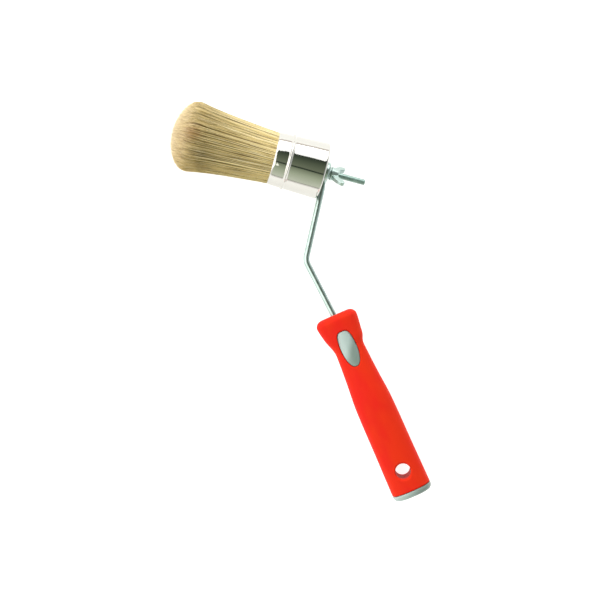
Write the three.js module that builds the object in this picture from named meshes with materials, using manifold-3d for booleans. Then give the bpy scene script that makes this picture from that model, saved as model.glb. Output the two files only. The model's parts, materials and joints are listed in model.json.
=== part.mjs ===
// Round natural-bristle brush on a bent wire handle.
// A tinned cup ferrule holds the bristles and a threaded stud. The stud passes through the eye of
// a bent wire frame and a wing nut clamps it there, so the head can be set to any angle about the
// stud. The other end of the wire is held in a two-colour plastic handle.
// Millimetres. The finished group lies at rest on the plane z = 0, handle along Y, head towards +Y.

import * as THREE from 'three';
import { mergeVertices } from 'three/addons/utils/BufferGeometryUtils.js';
import Module from 'manifold-3d';

const wasm = await Module();
wasm.setup();

// Clearances
const seat = 0.3; // between faces that touch on the real tool
const eyePlay = 0.7; // stud in the wire eye, all round

// Handle, measured down from the top of its head
const handleLength = 153;
const headLeft = 17.4;
const headRight = 16.2;
const headDepth = 11.6;
const headAt = 6;
const shoulderRight = 14.7;
const shoulderLeft = 15.2;
const shoulderAt = 17.5;
const guardWidth = 14.1; // thumb guard, on the right side only
const guardAt = 22;
const guardEndAt = 27;
const neckWidth = 11.9;
const neckDepth = 10.4;
const neckAt = 31;
const palmWidth = 14.9;
const palmDepth = 13.4;
const palmAt = 75;
const buttWidth = 15.85;
const buttDepth = 14.0;
const headRound = 5.2;
const buttRound = 3.6;
const sectionPower = 2.35;
const handleTwist = 11; // degrees the front of the handle is turned towards the brush side
const gripWall = 2.6;
const gripRoof = 5;
const coreWall = 2.4;
const coreHollowAt = 66;
const capLength = 4.7;
const spigotLength = 4.6;
const spigotWall = 1.8;

// Hanging hole through the handle
const hangHole = 12;
const hangHoleFromButt = 21.5;
const hangMouthRound = 2.4;
const hangLiningWall = 1.6; // tube of the grip that lines the hole
const hangBossWall = 1.7; // tube of the core round that lining

// Thumb pad, set in a window of the grip
const padTop = 14;
const padWidestAt = 27;
const padBottom = 42.8;
const padWidth = 12.5;
const padOffset = -0.1;
const padSunk = 0.35;

// Wire frame
const wireDiameter = 5;
const wireInHandle = 56;
const wireExit = -1.0;
const wireLean = 3.4; // degrees, away from the stud side
const wireRise = 48; // handle top to the bend's corner
const wireBend = 40.1; // degrees
const bendRadius = 8;
const shankLength = 70.5; // bend's corner to the stud axis
const eyeWrap = 288; // degrees of wire round the stud
const eyeThickness = 3.6; // the eye is pressed flat to this
const pressRun = 3; // over which the round wire runs into the flats
const shankClear = 0.1; // ferrule base to the wire at the eye, where the two are nearest
const finSpan = 7.6;
const finLength = 9;
const finThickness = 1.6;
const finFromEnd = 8;

// Stud, washer and wing nut
const studDiameter = 5;
const studReach = 33.9; // outside the ferrule base
const studHeadFlats = 8;
const studHeadHeight = 3.5;
const studChamfer = 0.6;
const threadBore = studDiameter + 2 * seat;
const washerOuter = 10;
const washerThickness = 1;
const nutHubLower = 11;
const nutHubUpper = 8.6;
const nutHubHeight = 6.4;
const wingSpan = 25.6;
const wingHeight = 11.6;
const wingThickness = 3.4;
const wingRoot = 0.8; // hub height at which the wings start
const wingTipRound = 2.6;
const wingTurn = 51; // degrees the wings are turned about the stud at rest

// Brush head, measured from the outside of the ferrule base towards the bristle tips
const headAngle = 37.8; // degrees from square to the handle
const ferruleBase = 44.8;
const ferruleMouth = 41.6;
const ferruleLength = 40.7;
const ferruleWall = 0.6;
const ferruleCorner = 1.6;
const seatMargin = 1.2; // stamped seat of the eye, beyond the eye all round
const seatSlope = 0.6;
const beadFromMouth = 12;
const beadHeight = 1.1;
const beadWidth = 2.8;
const discMargin = 0.8; // inside the flat of the base
const discThickness = 1.2;
const resinTop = 18;
const plugDiameter = 14;
const plugTop = 33;
const plugChamfer = 3;
const bristleReach = 80; // beyond the ferrule mouth
const bristleWidest = 54.8;
const bristleRoundLength = 16.6;

const hangHoleAt = handleLength - hangHoleFromButt;
const wireRadius = wireDiameter / 2;
const studRadius = studDiameter / 2;
const eyeRadius = studRadius + eyePlay + wireRadius;
const eyeAt = -shankClear - wireRadius;
const seatRadius = eyeRadius + wireRadius + seatMargin;
const radians = THREE.MathUtils.degToRad;

// Solid helpers ---------------------------------------------------------------------------------

function weld(geometry) {
  const bare = geometry.clone();
  bare.deleteAttribute('normal');
  bare.deleteAttribute('uv');
  const merged = mergeVertices(bare, 1e-4);
  const kept = [];
  const index = merged.index.array;
  for (let i = 0; i < index.length; i += 3) {
    const [a, b, c] = [index[i], index[i + 1], index[i + 2]];
    if (a !== b && b !== c && c !== a) {
      kept.push(a, b, c);
    }
  }
  merged.setIndex(kept);
  return merged;
}

function toSolid(geometry) {
  const welded = weld(geometry);
  return new wasm.Manifold(new wasm.Mesh({
    numProp: 3,
    vertProperties: new Float32Array(welded.attributes.position.array),
    triVerts: new Uint32Array(welded.index.array),
  }));
}

function toGeometry(solid) {
  const mesh = solid.getMesh();
  const geometry = new THREE.BufferGeometry();
  geometry.setAttribute('position', new THREE.BufferAttribute(mesh.vertProperties, 3));
  geometry.setIndex(new THREE.BufferAttribute(mesh.triVerts, 1));
  geometry.computeVertexNormals();
  return geometry;
}

function turned(points, segments) {
  return new THREE.LatheGeometry(points.map(([x, y]) => new THREE.Vector2(x, y)), segments);
}

// Handle section --------------------------------------------------------------------------------

const stations = [
  { at: 0, left: headLeft - 0.3, right: headRight - 0.3, depth: headDepth },
  { at: headAt, left: headLeft, right: headRight, depth: headDepth },
  { at: shoulderAt, left: shoulderLeft, right: shoulderRight, depth: headDepth - 0.3 },
  { at: guardAt, left: 13.6, right: guardWidth, depth: headDepth - 0.5 },
  { at: guardEndAt, left: 12.2, right: neckWidth + 0.1, depth: headDepth - 0.9 },
  { at: neckAt, left: neckWidth, right: neckWidth, depth: neckDepth },
  { at: (neckAt + palmAt) / 2, left: 13.2, right: 13.2, depth: 11.8 },
  { at: palmAt, left: palmWidth, right: palmWidth, depth: palmDepth },
  { at: (palmAt + handleLength) / 2, left: 15.35, right: 15.35, depth: 13.8 },
  { at: handleLength, left: buttWidth, right: buttWidth, depth: buttDepth },
];

function outlineOf(key) {
  return new THREE.SplineCurve(stations.map((station) => new THREE.Vector2(station[key], station.at)));
}

const outlines = { left: outlineOf('left'), right: outlineOf('right'), depth: outlineOf('depth') };

function sizeAt(at) {
  let low = 0;
  let high = 1;
  for (let i = 0; i < 40; i += 1) {
    const middle = (low + high) / 2;
    if (outlines.depth.getPoint(middle).y < at) {
      low = middle;
    } else {
      high = middle;
    }
  }
  return {
    left: outlines.left.getPoint(low).x,
    right: outlines.right.getPoint(low).x,
    depth: outlines.depth.getPoint(low).x,
  };
}

function coreSizeAt(at) {
  return sizeAt(Math.max(at, neckAt));
}

// One closed body along the handle: size is a function of the distance down from the top, inset
// shrinks it all round, and its two ends may be rounded over.
function handleBody({ from, to, size, inset = 0, startRound = 0, endRound = 0, step = 12, segments = 24 }) {
  const places = new Set([from, to]);
  for (const [round, end, sign] of [[startRound, from, 1], [endRound, to, -1]]) {
    for (const share of round > 0 ? [0.08, 0.3, 0.62, 1] : []) {
      places.add(end + sign * round * share);
    }
  }
  const count = Math.ceil((to - from - startRound - endRound) / step);
  for (let i = 1; i < count; i += 1) {
    places.add(from + startRound + ((to - from - startRound - endRound) * i) / count);
  }
  const down = [...places].sort((a, b) => b - a);
  const geometry = turned([[0, -to], ...down.map((at) => [1, -at]), [0, -from]], segments);
  const roundOver = (gap, round) => {
    const short = Math.max(round - gap, 0);
    return gap < round ? round - Math.sqrt(Math.max(round ** 2 - short ** 2, 0)) : 0;
  };
  const position = geometry.attributes.position;
  for (let i = 0; i < position.count; i += 1) {
    const at = -position.getY(i);
    const { left, right, depth } = size(at);
    const less = inset + roundOver(at - from, startRound) + roundOver(to - at, endRound);
    const [x, z] = [position.getX(i), position.getZ(i)];
    const side = x < 0 ? left : right;
    const power = 2 / sectionPower;
    position.setX(i, Math.sign(x) * Math.abs(x) ** power * (side - less));
    position.setZ(i, Math.sign(z) * Math.abs(z) ** power * (depth - less));
  }
  return toSolid(geometry);
}

function hangHoleCutter(radius, mouthRound) {
  const surface = sizeAt(hangHoleAt).depth;
  const flare = radius + mouthRound;
  const [out, deep] = [surface + 3, surface - 1.2 * mouthRound];
  const points = [[0, -out], [flare + 2, -out], [flare, -surface], [radius, -deep]];
  points.push([radius, deep], [flare, surface], [flare + 2, out], [0, out]);
  const cutter = turned(points, 28);
  cutter.rotateX(Math.PI / 2);
  cutter.translate(0, -hangHoleAt, 0);
  return toSolid(cutter);
}

function padPrism(grow, back) {
  const points = [];
  const turns = 26;
  for (let i = 0; i < turns; i += 1) {
    const angle = (2 * Math.PI * i) / turns;
    const up = Math.sin(angle);
    const reach = up > 0 ? padWidestAt - padTop : padBottom - padWidestAt;
    const squareness = up > 0 ? 0.5 : 0.88;
    const across = Math.sign(Math.cos(angle)) * Math.abs(Math.cos(angle)) ** squareness;
    const x = padOffset + across * (padWidth / 2 + grow);
    points.push(new THREE.Vector2(x, -padWidestAt + up * (reach + grow)));
  }
  const prism = new THREE.ExtrudeGeometry(new THREE.Shape(points), { depth: 30, bevelEnabled: false });
  prism.translate(0, 0, back);
  return toSolid(prism);
}

// Wire ------------------------------------------------------------------------------------------

class StationPath extends THREE.Curve {
  constructor(points) {
    super();
    this.points = points;
  }

  getPoint(share, target = new THREE.Vector3()) {
    const place = share * (this.points.length - 1);
    const low = Math.min(Math.floor(place), this.points.length - 2);
    return target.lerpVectors(this.points[low], this.points[low + 1], place - low);
  }

  getPointAt(share, target) {
    return this.getPoint(share, target);
  }

  getTangentAt(share, target) {
    return this.getTangent(share, target);
  }
}

// Unit vector in the plane of the handle, turned from +Y towards +X
function heading(degrees) {
  return new THREE.Vector3(Math.sin(radians(degrees)), Math.cos(radians(degrees)), 0);
}

const wireTop = new THREE.Vector3(wireExit, 0, 0);
const riseHeading = heading(-wireLean);
const shankHeading = heading(wireBend - wireLean);
const bendCorner = wireTop.clone().addScaledVector(riseHeading, wireRise);
const studCentre = bendCorner.clone().addScaledVector(shankHeading, shankLength);

function wirePoints() {
  const points = [wireTop.clone().addScaledVector(riseHeading, -wireInHandle)];
  const setback = bendRadius * Math.tan(radians(wireBend / 2));
  const bendStart = bendCorner.clone().addScaledVector(riseHeading, -setback);
  const towardsCentre = heading(90 - wireLean);
  const bendCentre = bendStart.clone().addScaledVector(towardsCentre, bendRadius);
  const bendSteps = 8;
  for (let i = 0; i <= bendSteps; i += 1) {
    const turn = (wireBend * i) / bendSteps;
    points.push(bendCentre.clone().addScaledVector(heading(-90 - wireLean + turn), bendRadius));
  }
  const eyeSteps = 18;
  const across = heading(headAngle);
  for (let i = 0; i <= eyeSteps; i += 1) {
    const turn = radians((eyeWrap * i) / eyeSteps);
    const point = studCentre.clone().addScaledVector(across, eyeRadius * Math.sin(turn));
    point.z += eyeRadius * (1 - Math.cos(turn));
    points.push(point);
  }
  return points;
}

function makeWireFrame() {
  const points = wirePoints();
  const section = new THREE.Shape();
  section.absarc(0, 0, wireRadius, 0, 2 * Math.PI);
  const wire = new THREE.ExtrudeGeometry(section, {
    steps: points.length - 1,
    curveSegments: 12,
    extrudePath: new StationPath(points),
  });
  const body = toSolid(wire).add(toSolid(wireFins()));
  return toGeometry(body.subtract(eyePress(1)).subtract(eyePress(-1)));
}

// What pressing takes off one face of the eye, side 1 towards the ferrule and -1 away from it
function eyePress(side) {
  const [half, over] = [eyeThickness / 2, wireDiameter];
  const outline = new THREE.Shape();
  outline.moveTo(-seatRadius - pressRun, side * wireRadius);
  outline.lineTo(-seatRadius, side * half);
  outline.lineTo(seatRadius, side * half);
  outline.lineTo(seatRadius, side * over);
  outline.lineTo(-seatRadius - pressRun, side * over);
  const block = new THREE.ExtrudeGeometry(outline, { depth: 4 * seatRadius, bevelEnabled: false });
  block.translate(0, 0, -2 * seatRadius);
  block.rotateZ(radians(90 - headAngle));
  block.translate(studCentre.x, studCentre.y, eyeRadius);
  return toSolid(block);
}

// Moves a shape made on local Y onto the wire's straight end, so far along from the handle's top
function ontoWire(geometry, along) {
  const place = wireTop.clone().addScaledVector(riseHeading, along);
  return geometry.rotateZ(radians(wireLean)).translate(place.x, place.y, place.z);
}

// Two flattened ears that stop the wire turning in the handle
function wireFins() {
  return ontoWire(new THREE.BoxGeometry(finSpan, finLength, finThickness), finFromEnd - wireInHandle);
}

// The hole for the wire, with the slot that its ears cut on their way in
function wireSocket() {
  const length = wireInHandle + seat + 10;
  const reach = wireRadius + seat;
  const bore = ontoWire(turned([[0, 0], [reach, 0], [reach, length], [0, length]], 20), -wireInHandle - seat);
  const slotLength = wireInHandle - finFromEnd + finLength / 2 + seat;
  const slotSize = [finSpan + 2 * seat, slotLength, finThickness + 2 * seat];
  const slot = ontoWire(new THREE.BoxGeometry(...slotSize), -slotLength / 2);
  const untwist = radians(handleTwist);
  return toSolid(bore.rotateY(untwist)).add(toSolid(slot.rotateY(untwist)));
}

// Handle pieces ---------------------------------------------------------------------------------

const capAt = handleLength - capLength;
const coreInset = gripWall + seat;
const bossRadius = hangHole / 2 + hangLiningWall + seat + hangBossWall;

function makeHandleGrip() {
  const outside = handleBody({ from: 0, to: capAt - seat, size: sizeAt, startRound: headRound });
  const inside = handleBody({ from: gripRoof, to: capAt + 5, size: coreSizeAt, inset: gripWall });
  const window = padPrism(seat, 0);
  const lining = crossTube(hangHole / 2 + hangLiningWall).intersect(outside);
  return toGeometry(outside.subtract(inside).add(lining).subtract(window).subtract(wireSocket())
    .subtract(hangHoleCutter(hangHole / 2, hangMouthRound)));
}

// A round bar right through the handle at the hanging hole
function crossTube(radius) {
  const bar = new THREE.CylinderGeometry(radius, radius, 4 * buttDepth, 28);
  return toSolid(bar.rotateX(Math.PI / 2).translate(0, -hangHoleAt, 0));
}

function coreOutside() {
  return handleBody({ from: gripRoof + seat, to: capAt - seat, size: coreSizeAt, inset: coreInset });
}

function makeHandleCore() {
  const outside = coreOutside();
  const inset = coreInset + coreWall;
  const hollow = handleBody({ from: coreHollowAt, to: capAt + 5, size: coreSizeAt, inset });
  const boss = crossTube(bossRadius).intersect(outside);
  const bore = crossTube(bossRadius - hangBossWall);
  return toGeometry(outside.subtract(hollow).add(boss).subtract(bore).subtract(wireSocket()));
}

function makeThumbPad() {
  const outside = handleBody({ from: 0, to: 60, size: sizeAt, inset: padSunk });
  const under = handleBody({ from: gripRoof, to: 60, size: coreSizeAt, inset: coreInset - seat });
  return toGeometry(padPrism(0, 0).intersect(outside).subtract(under));
}

function makeEndCap() {
  const cap = handleBody({ from: capAt, to: handleLength, size: sizeAt, endRound: buttRound });
  const from = capAt - spigotLength;
  const inset = coreInset + coreWall + seat;
  const spigot = handleBody({ from, to: capAt + 2, size: coreSizeAt, inset });
  const recess = handleBody({ from: from - 1, to: capAt + 1, size: coreSizeAt, inset: inset + spigotWall });
  return toGeometry(cap.add(spigot.subtract(crossTube(bossRadius + seat))).subtract(recess));
}

// Brush head, stud and nut: turned about local Y, tips towards +Y -------------------------------

function ferruleRadiusAt(up) {
  return THREE.MathUtils.lerp(ferruleBase, ferruleMouth, up / ferruleLength) / 2;
}

// The base is stamped out round the stud as far as it takes to meet the flat of the eye
const seatStep = -eyeAt - eyeThickness / 2 - seat;

function makeFerruleCup() {
  const outer = [];
  for (const turn of [0, 45, 90]) {
    const x = ferruleRadiusAt(0) - ferruleCorner * (1 - Math.sin(radians(turn)));
    outer.push([x, ferruleCorner * (1 - Math.cos(radians(turn)))]);
  }
  const beadUp = ferruleLength - beadFromMouth;
  for (const turn of [-90, -45, 0, 45, 90]) {
    const up = beadUp + (beadWidth / 2) * Math.sin(radians(turn));
    outer.push([ferruleRadiusAt(up) + beadHeight * Math.cos(radians(turn)), up]);
  }
  outer.push([ferruleRadiusAt(ferruleLength), ferruleLength]);
  const inner = [[ferruleRadiusAt(ferruleLength) - ferruleWall, ferruleLength]];
  inner.push([ferruleRadiusAt(ferruleCorner) - ferruleWall, ferruleCorner]);
  inner.push([ferruleRadiusAt(0) - ferruleCorner, ferruleWall]);
  inner.push([seatRadius, ferruleWall], [seatRadius - seatSlope, ferruleWall - seatStep]);
  const hole = studRadius + seat;
  const stamped = [[hole, -seatStep], [seatRadius, -seatStep], [seatRadius + seatSlope, 0]];
  return turned([...stamped, ...outer, ...inner, [hole, ferruleWall - seatStep], stamped[0]], 32);
}

const discAt = ferruleWall + seat;
const studHeadAt = discAt + discThickness + seat;
const studHeadRadius = studHeadFlats / Math.sqrt(3);
const plugAt = studHeadAt + studHeadHeight + seat;

function makeBackingDisc() {
  const [bore, top] = [studRadius + seat, discAt + discThickness];
  const rim = ferruleBase / 2 - ferruleCorner - discMargin;
  return turned([[bore, discAt], [rim, discAt], [rim, top], [bore, top], [bore, discAt]], 24);
}

function makeStudBolt() {
  const points = [[0, -studReach], [studRadius - studChamfer, -studReach]];
  points.push([studRadius, -studReach + studChamfer], [studRadius, studHeadAt + 1], [0, studHeadAt + 1]);
  const head = new THREE.CylinderGeometry(studHeadRadius, studHeadRadius, studHeadHeight, 6);
  head.translate(0, studHeadAt + studHeadHeight / 2, 0);
  return toGeometry(toSolid(turned(points, 20)).add(toSolid(head)));
}

function makeResinSetting() {
  const [outer, foot, step] = [ferruleRadiusAt(resinTop) - ferruleWall - seat, studHeadAt, plugAt - seat];
  const [headBore, plugBore] = [studHeadRadius + seat, plugDiameter / 2 + seat];
  const points = [[headBore, foot], [outer, foot], [outer, resinTop], [plugBore, resinTop]];
  points.push([plugBore, step], [headBore, step], [headBore, foot]);
  return turned(points, 24);
}

function makeCorePlug() {
  const radius = plugDiameter / 2;
  const shoulder = plugTop - plugChamfer;
  const points = [[0, plugAt], [radius, plugAt], [radius, shoulder], [radius - plugChamfer, plugTop]];
  return turned([...points, [0, plugTop]], 20);
}

function makeBristleBundle() {
  const foot = resinTop + seat;
  const tip = ferruleLength + bristleReach;
  const shoulder = tip - bristleRoundLength;
  const neck = ferruleRadiusAt(ferruleLength) - ferruleWall - seat;
  const points = [[plugDiameter / 2 + seat, foot], [neck, foot], [neck, ferruleLength]];
  for (const share of [0.25, 0.5, 0.75, 0.9, 1]) {
    const flare = 0.72 * share + 0.28 * share ** 5;
    const up = THREE.MathUtils.lerp(ferruleLength, shoulder, share);
    points.push([THREE.MathUtils.lerp(neck, bristleWidest / 2, flare), up]);
  }
  for (const turn of [20, 40, 60, 78]) {
    const x = (bristleWidest / 2) * Math.cos(radians(turn));
    points.push([x, shoulder + bristleRoundLength * Math.sin(radians(turn))]);
  }
  const plugBore = plugDiameter / 2 + seat;
  points.push([0, tip], [0, plugTop + plugDiameter / 2], [plugBore, plugTop - plugChamfer], [plugBore, foot]);
  return turned(points, 32);
}

const washerAt = eyeAt - eyeThickness / 2 - seat;
const nutAt = washerAt - washerThickness - seat;

function makeFlatWasher() {
  const [bore, rim, low] = [studRadius + seat, washerOuter / 2, washerAt - washerThickness];
  return turned([[bore, low], [rim, low], [rim, washerAt], [bore, washerAt], [bore, low]], 24);
}

function makeWingNut() {
  const [bore, low, high] = [threadBore / 2, nutHubLower / 2, nutHubUpper / 2];
  const top = nutAt - nutHubHeight;
  const hub = turned([[0, top], [high - 0.6, top], [high, top + 0.6], [low, nutAt], [0, nutAt]], 24);
  const outline = new THREE.Shape();
  const half = wingSpan / 2;
  outline.moveTo(0, wingRoot);
  outline.lineTo(low - 0.6, wingRoot);
  outline.quadraticCurveTo(half - 3.2, wingRoot + 1.6, half - 0.4, wingHeight - wingTipRound);
  outline.quadraticCurveTo(half + 0.4, wingHeight, half - wingTipRound, wingHeight);
  outline.quadraticCurveTo(high + 2.4, wingHeight - 0.8, high - 0.4, nutHubHeight - 0.5);
  outline.lineTo(0, nutHubHeight - 0.5);
  const sheet = { depth: wingThickness, bevelEnabled: false, curveSegments: 5 };
  const plate = new THREE.ExtrudeGeometry(outline, sheet);
  plate.translate(0, 0, -wingThickness / 2);
  plate.rotateX(Math.PI);
  plate.translate(0, nutAt, 0);
  const other = plate.clone().rotateY(Math.PI);
  const hole = turned([[0, top - 9], [bore, top - 9], [bore, nutAt + 3], [0, nutAt + 3]], 20);
  const body = toSolid(hub).add(toSolid(plate)).add(toSolid(other)).subtract(toSolid(hole));
  return toGeometry(body).rotateY(radians(wingTurn));
}

// Assembly --------------------------------------------------------------------------------------

const looks = {
  bristle: { color: 0xc9a866, roughness: 0.75, metalness: 0 },
  tinned: { color: 0xd8d6cf, roughness: 0.12, metalness: 1 },
  zinc: { color: 0xaebfb8, roughness: 0.35, metalness: 1 },
  red: { color: 0xf03a1c, roughness: 0.4, metalness: 0 },
  grey: { color: 0x95a39b, roughness: 0.55, metalness: 0 },
  resin: { color: 0xb07f45, roughness: 0.4, metalness: 0 },
  wood: { color: 0xcfa871, roughness: 0.7, metalness: 0 },
};

function piece(name, geometry, look) {
  const mesh = new THREE.Mesh(weld(geometry), new THREE.MeshStandardMaterial(looks[look]));
  mesh.name = name;
  return mesh;
}

const head = new THREE.Group();
head.rotation.z = radians(90 - headAngle);
head.position.copy(studCentre).addScaledVector(heading(headAngle + 90), eyeAt);
head.position.z = eyeRadius;
head.add(
  piece('bristle_bundle', makeBristleBundle(), 'bristle'),
  piece('ferrule_cup', makeFerruleCup(), 'tinned'),
  piece('core_plug', makeCorePlug(), 'wood'),
  piece('resin_setting', makeResinSetting(), 'resin'),
  piece('backing_disc', makeBackingDisc(), 'zinc'),
  piece('stud_bolt', makeStudBolt(), 'zinc'),
  piece('flat_washer', makeFlatWasher(), 'zinc'),
  piece('wing_nut', makeWingNut(), 'zinc'),
);

const handle = new THREE.Group();
handle.rotation.y = radians(-handleTwist);
handle.add(
  piece('handle_core', makeHandleCore(), 'grey'),
  piece('handle_grip', makeHandleGrip(), 'red'),
  piece('thumb_pad', makeThumbPad(), 'grey'),
  piece('end_cap', makeEndCap(), 'grey'),
);

const tool = new THREE.Group();
tool.add(head, handle, piece('wire_frame', makeWireFrame(), 'zinc'));

// Every corner of every piece, in the frame of the given group
function cornersOf(group) {
  group.updateMatrixWorld(true);
  const corners = [];
  group.traverse((item) => {
    if (item.isMesh) {
      const position = item.geometry.attributes.position;
      for (let i = 0; i < position.count; i += 1) {
        corners.push(new THREE.Vector3().fromBufferAttribute(position, i).applyMatrix4(item.matrixWorld));
      }
    }
  });
  return corners;
}

// The plane that the tool settles on: the lowest corner, then the corner met first when tipping
// towards the middle, then the one met first when tipping about those two.
function restingNormal(corners) {
  const middle = new THREE.Box3().setFromPoints(corners).getCenter(new THREE.Vector3());
  const first = corners.reduce((low, corner) => (corner.z < low.z ? corner : low));
  const inward = middle.clone().sub(first).setZ(0).normalize();
  const tip = (direction, up) => {
    let best = null;
    let bestSlope = Infinity;
    for (const corner of corners) {
      const away = corner.clone().sub(first);
      const run = away.dot(direction);
      if (run > 1 && away.dot(up) / run < bestSlope) {
        bestSlope = away.dot(up) / run;
        best = corner;
      }
    }
    return best;
  };
  const upright = new THREE.Vector3(0, 0, 1);
  const edge = tip(inward, upright).clone().sub(first).normalize();
  const side = new THREE.Vector3().crossVectors(upright, edge).normalize();
  const lean = new THREE.Vector3().crossVectors(edge, side);
  const offside = middle.clone().sub(first).dot(side) < 0 ? side.clone().negate() : side;
  const third = tip(offside, lean).clone().sub(first);
  const normal = new THREE.Vector3().crossVectors(edge, third).normalize();
  return normal.z < 0 ? normal.negate() : normal;
}

tool.quaternion.setFromUnitVectors(restingNormal(cornersOf(tool)), new THREE.Vector3(0, 0, 1));
const box = new THREE.Box3().setFromPoints(cornersOf(tool));
const centre = box.getCenter(new THREE.Vector3());
tool.position.set(-centre.x, -centre.y, -box.min.z);

const group = new THREE.Group();
group.add(tool);
group.updateMatrixWorld(true);

export default group;
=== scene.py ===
import json
import math

import bmesh
import bpy
import numpy as np
from mathutils import Matrix, Vector


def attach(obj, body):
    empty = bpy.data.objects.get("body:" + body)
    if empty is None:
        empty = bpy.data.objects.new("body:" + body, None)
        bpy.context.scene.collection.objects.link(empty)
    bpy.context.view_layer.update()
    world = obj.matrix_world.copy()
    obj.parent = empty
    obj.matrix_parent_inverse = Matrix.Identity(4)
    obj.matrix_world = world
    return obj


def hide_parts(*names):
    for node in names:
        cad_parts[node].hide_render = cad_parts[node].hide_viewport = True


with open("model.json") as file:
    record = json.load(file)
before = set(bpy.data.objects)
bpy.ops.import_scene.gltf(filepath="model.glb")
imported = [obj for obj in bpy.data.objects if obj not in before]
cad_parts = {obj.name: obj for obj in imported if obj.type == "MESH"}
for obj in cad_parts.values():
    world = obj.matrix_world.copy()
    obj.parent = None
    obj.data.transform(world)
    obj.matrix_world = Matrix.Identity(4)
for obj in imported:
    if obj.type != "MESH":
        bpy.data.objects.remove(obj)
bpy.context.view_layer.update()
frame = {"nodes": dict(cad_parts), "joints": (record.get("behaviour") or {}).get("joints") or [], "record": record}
bpy.ops.object.select_all(action="DESELECT")

# The two frames that pieces are modelled in, both worked out from the record.
# headFrame: origin at the middle of the ferrule base, Y towards the bristle tips, X away from the
# handle, Z up. handleFrame: origin at the middle of the handle's top, Y towards the brush, Z up.
mounts = {mount["name"]: mount for mount in frame["record"]["mounts"]}
joints = {joint["name"]: joint for joint in frame["joints"]}

tool = dict(
    handleLength=0.153,
    handleTwist=11,  # degrees, about the handle's own length
    seat=0.0003,  # gap between faces that touch
    wireRadius=0.0025,
    shankClear=0.0001,
    studRadius=0.0025,
    eyePlay=0.0007,
)
eyeAt = -tool["shankClear"] - tool["wireRadius"]
eyeRadius = tool["studRadius"] + tool["eyePlay"] + tool["wireRadius"]


def frameOf(x, y, z, origin):
    turned = Matrix((x, y, z)).transposed().to_4x4()
    return Matrix.Translation(origin) @ turned


studOut = Vector(joints["head_turn"]["axis"]).normalized()
handleUp = -Vector(mounts["butt_face"]["axis"]).normalized()
faceUp = studOut.cross(handleUp).normalized()
headOrigin = Vector(joints["head_turn"]["pos_m"]) + eyeAt * studOut
headFrame = frameOf((-studOut).cross(faceUp), -studOut, faceUp, headOrigin)
handleTop = Vector(mounts["butt_face"]["pos_m"]) + tool["handleLength"] * handleUp
plainHandle = frameOf(handleUp.cross(faceUp), handleUp, faceUp, handleTop)
handleFrame = plainHandle @ Matrix.Rotation(math.radians(-tool["handleTwist"]), 4, "Y")


# Camera, given by where it looks from
view = dict(
    azimuth=-79.82,  # degrees
    elevation=84.66,
    roll=23.85,
    distance=1.0,
    lens=76.67,
    target=(-0.0186, 0.0003, 0.016),
)


def setCamera():
    azimuth, elevation, roll = (math.radians(view[key]) for key in ("azimuth", "elevation", "roll"))
    away = Vector((
        math.cos(elevation) * math.sin(azimuth),
        -math.cos(elevation) * math.cos(azimuth),
        math.sin(elevation),
    ))
    northUp = (Vector((0, 1, 0)) - away * away.y).normalized()
    right = northUp.cross(away)
    up = northUp * math.cos(roll) + right * math.sin(roll)
    camera = bpy.data.objects.new("camera", bpy.data.cameras.new("camera"))
    bpy.context.scene.collection.objects.link(camera)
    camera.data.sensor_width = 36
    camera.data.lens = view["lens"]
    camera.data.clip_end = 20
    place = Vector(view["target"]) + away * view["distance"]
    camera.matrix_world = frameOf(up.cross(away), up, away, place)
    bpy.context.scene.camera = camera
    return up.cross(away)


imageRight = setCamera()
print("camera set")


# A node's output, so that shader maths reads as an expression
class Signal:
    def __init__(self, finish, socket):
        self.finish = finish
        self.socket = socket

    def math(self, operation, first, second=0.0):
        return self.finish.add("ShaderNodeMath", {"operation": operation}, {0: first, 1: second})

    def __add__(self, other):
        return self.math("ADD", self, other)

    def __sub__(self, other):
        return self.math("SUBTRACT", self, other)

    def __rsub__(self, other):
        return self.math("SUBTRACT", other, self)

    def __mul__(self, other):
        return self.math("MULTIPLY", self, other)

    __radd__ = __add__
    __rmul__ = __mul__

    def between(self, low, high):
        inputs = {"Value": self, "From Min": low, "From Max": high}
        return self.finish.add("ShaderNodeMapRange", {"interpolation_type": "SMOOTHSTEP"}, inputs)


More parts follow.
